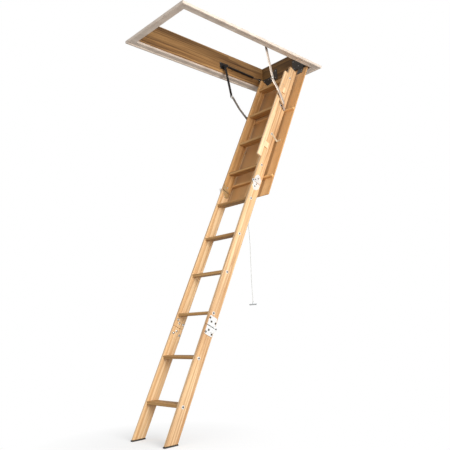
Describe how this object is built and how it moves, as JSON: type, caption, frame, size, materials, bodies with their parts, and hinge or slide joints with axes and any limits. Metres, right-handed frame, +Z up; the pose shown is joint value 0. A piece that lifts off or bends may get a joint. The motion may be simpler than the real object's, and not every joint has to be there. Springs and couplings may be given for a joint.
{
  "type": "folding attic ladder",
  "caption": "Hatch frame with casing and a hinged door carrying a folding wooden ladder in three sections, with side arms, gas struts, a handrail and a pull cord.",
  "frame": {"origin": "middle of the outer face of the frame board that carries the door hinge", "axes": "+Z up, +Y out through the header at the hinge end, +X to the climber's right"},
  "size_m": [0.661, 1.5964, 2.913],
  "materials": {
    "pine": "planed pine, clear and satin",
    "plywood": "varnished plywood",
    "frame_wood": "sawn softwood boards",
    "casing_paint": "painted wooden moulding, satin",
    "zinc_steel": "zinc-plated pressed steel",
    "black_steel": "black painted steel",
    "black_rubber": "moulded rubber",
    "white_cord": "braided white cord",
    "grey_plastic": "moulded plastic"
  },
  "bodies": {
    "frame": {"frame_board_left": "frame_wood", "frame_board_right": "frame_wood", "frame_board_hinge_end": "frame_wood", "frame_board_free_end": "frame_wood", "trim_left": "casing_paint", "trim_right": "casing_paint", "trim_hinge_end": "casing_paint", "trim_free_end": "casing_paint", "arm_bracket_left": "black_steel", "arm_bracket_right": "black_steel", "hatch_hinge_bracket_left": "black_steel", "hatch_hinge_bracket_right": "black_steel"},
    "door": {"door_panel": "plywood", "door_batten_upper": "plywood", "door_batten_lower": "plywood", "hatch_hinge_leaf_left": "black_steel", "hatch_hinge_leaf_right": "black_steel", "upper_stile_left": "pine", "upper_stile_right": "pine", "upper_step_1": "pine", "upper_step_2": "pine", "upper_step_3": "pine", "upper_step_4": "pine", "handrail": "pine", "handrail_block_upper": "pine", "handrail_block_lower": "pine", "stile_bracket_left": "zinc_steel", "stile_bracket_right": "zinc_steel", "front_hinge_upper_leaf_left": "zinc_steel", "front_hinge_upper_leaf_right": "zinc_steel", "cord_eye": "zinc_steel"},
    "middle_section": {"middle_stile_left": "pine", "middle_stile_right": "pine", "middle_step_1": "pine", "middle_step_2": "pine", "middle_step_3": "pine", "middle_step_4": "pine", "front_hinge_lower_leaf_left": "zinc_steel", "front_hinge_lower_leaf_right": "zinc_steel", "rear_hinge_upper_leaf_left": "zinc_steel", "rear_hinge_upper_leaf_right": "zinc_steel"},
    "lower_section": {"lower_stile_left": "pine", "lower_stile_right": "pine", "lower_step_1": "pine", "lower_step_2": "pine", "rear_hinge_lower_leaf_left": "zinc_steel", "rear_hinge_lower_leaf_right": "zinc_steel", "foot_pad_left": "black_rubber", "foot_pad_right": "black_rubber"},
    "upper_arm_left": {"upper_arm_left": "black_steel"},
    "lower_arm_left": {"lower_arm_left": "black_steel"},
    "strut_rod_left": {"strut_rod_left": "zinc_steel"},
    "strut_cylinder_left": {"strut_cylinder_left": "black_steel"},
    "upper_arm_right": {"upper_arm_right": "zinc_steel"},
    "lower_arm_right": {"lower_arm_right": "zinc_steel"},
    "strut_rod_right": {"strut_rod_right": "zinc_steel"},
    "strut_cylinder_right": {"strut_cylinder_right": "black_steel"},
    "pull_cord": {"pull_cord": "white_cord", "cord_handle": "grey_plastic"}
  },
  "joints": [
    {"name": "door_hinge", "type": "hinge", "parent": "frame", "child": "door", "pos_m": [0, -0.031, -0.078], "axis": [-1, 0, 0], "range_deg": [0, 57]},
    {"name": "middle_hinge", "type": "hinge", "parent": "door", "child": "middle_section", "pos_m": [0, -0.68842, -1.13808], "axis": [-1, 0, 0], "range_deg": [0, 180]},
    {"name": "lower_hinge", "type": "hinge", "parent": "middle_section", "child": "lower_section", "pos_m": [0, -1.12099, -2.18309], "axis": [1, 0, 0], "range_deg": [0, 180]},
    {"name": "upper_arm_pivot_left", "type": "hinge", "parent": "frame", "child": "upper_arm_left", "pos_m": [-0.229, -0.519, -0.04], "axis": [-1, 0, 0], "range_deg": [0, 100.26]},
    {"name": "lower_arm_pivot_left", "type": "hinge", "parent": "door", "child": "lower_arm_left", "pos_m": [-0.178, -0.28557, -0.50384], "axis": [1, 0, 0], "range_deg": [0, 96.69]},
    {"name": "strut_pivot_left", "type": "hinge", "parent": "frame", "child": "strut_rod_left", "pos_m": [-0.243, -0.064, -0.043], "axis": [1, 0, 0], "range_deg": [0, 5.69]},
    {"name": "strut_slide_left", "type": "slide", "parent": "strut_rod_left", "child": "strut_cylinder_left", "axis": [0, -0.9996, 0.0286], "range_m": [0, 0.03189]},
    {"name": "upper_arm_pivot_right", "type": "hinge", "parent": "frame", "child": "upper_arm_right", "pos_m": [0.229, -0.519, -0.04], "axis": [-1, 0, 0], "range_deg": [0, 100.26]},
    {"name": "lower_arm_pivot_right", "type": "hinge", "parent": "door", "child": "lower_arm_right", "pos_m": [0.178, -0.28557, -0.50384], "axis": [1, 0, 0], "range_deg": [0, 96.69]},
    {"name": "strut_pivot_right", "type": "hinge", "parent": "frame", "child": "strut_rod_right", "pos_m": [0.243, -0.064, -0.043], "axis": [1, 0, 0], "range_deg": [0, 5.69]},
    {"name": "strut_slide_right", "type": "slide", "parent": "strut_rod_right", "child": "strut_cylinder_right", "axis": [0, -0.9996, 0.0286], "range_m": [0, 0.03189]},
    {"name": "pull_cord_hang", "type": "hinge", "parent": "door", "child": "pull_cord", "pos_m": [0, -0.58272, -1.21214], "axis": [1, 0, 0], "range_deg": [0, 57]}
  ],
  "couplings": [
    {"joint": "lower_hinge", "follows": "middle_hinge", "ratio": 1},
    {"joint": "upper_arm_pivot_left", "follows": "door_hinge", "ratio": 1.7581},
    {"joint": "lower_arm_pivot_left", "follows": "door_hinge", "ratio": 1.6955},
    {"joint": "strut_pivot_left", "follows": "door_hinge", "ratio": 0.099533},
    {"joint": "strut_slide_left", "follows": "door_hinge", "m_per_rad": 0.032001},
    {"joint": "upper_arm_pivot_right", "follows": "door_hinge", "ratio": 1.7581},
    {"joint": "lower_arm_pivot_right", "follows": "door_hinge", "ratio": 1.6955},
    {"joint": "strut_pivot_right", "follows": "door_hinge", "ratio": 0.099533},
    {"joint": "strut_slide_right", "follows": "door_hinge", "m_per_rad": 0.032001},
    {"joint": "pull_cord_hang", "follows": "door_hinge", "ratio": 1}
  ]
}
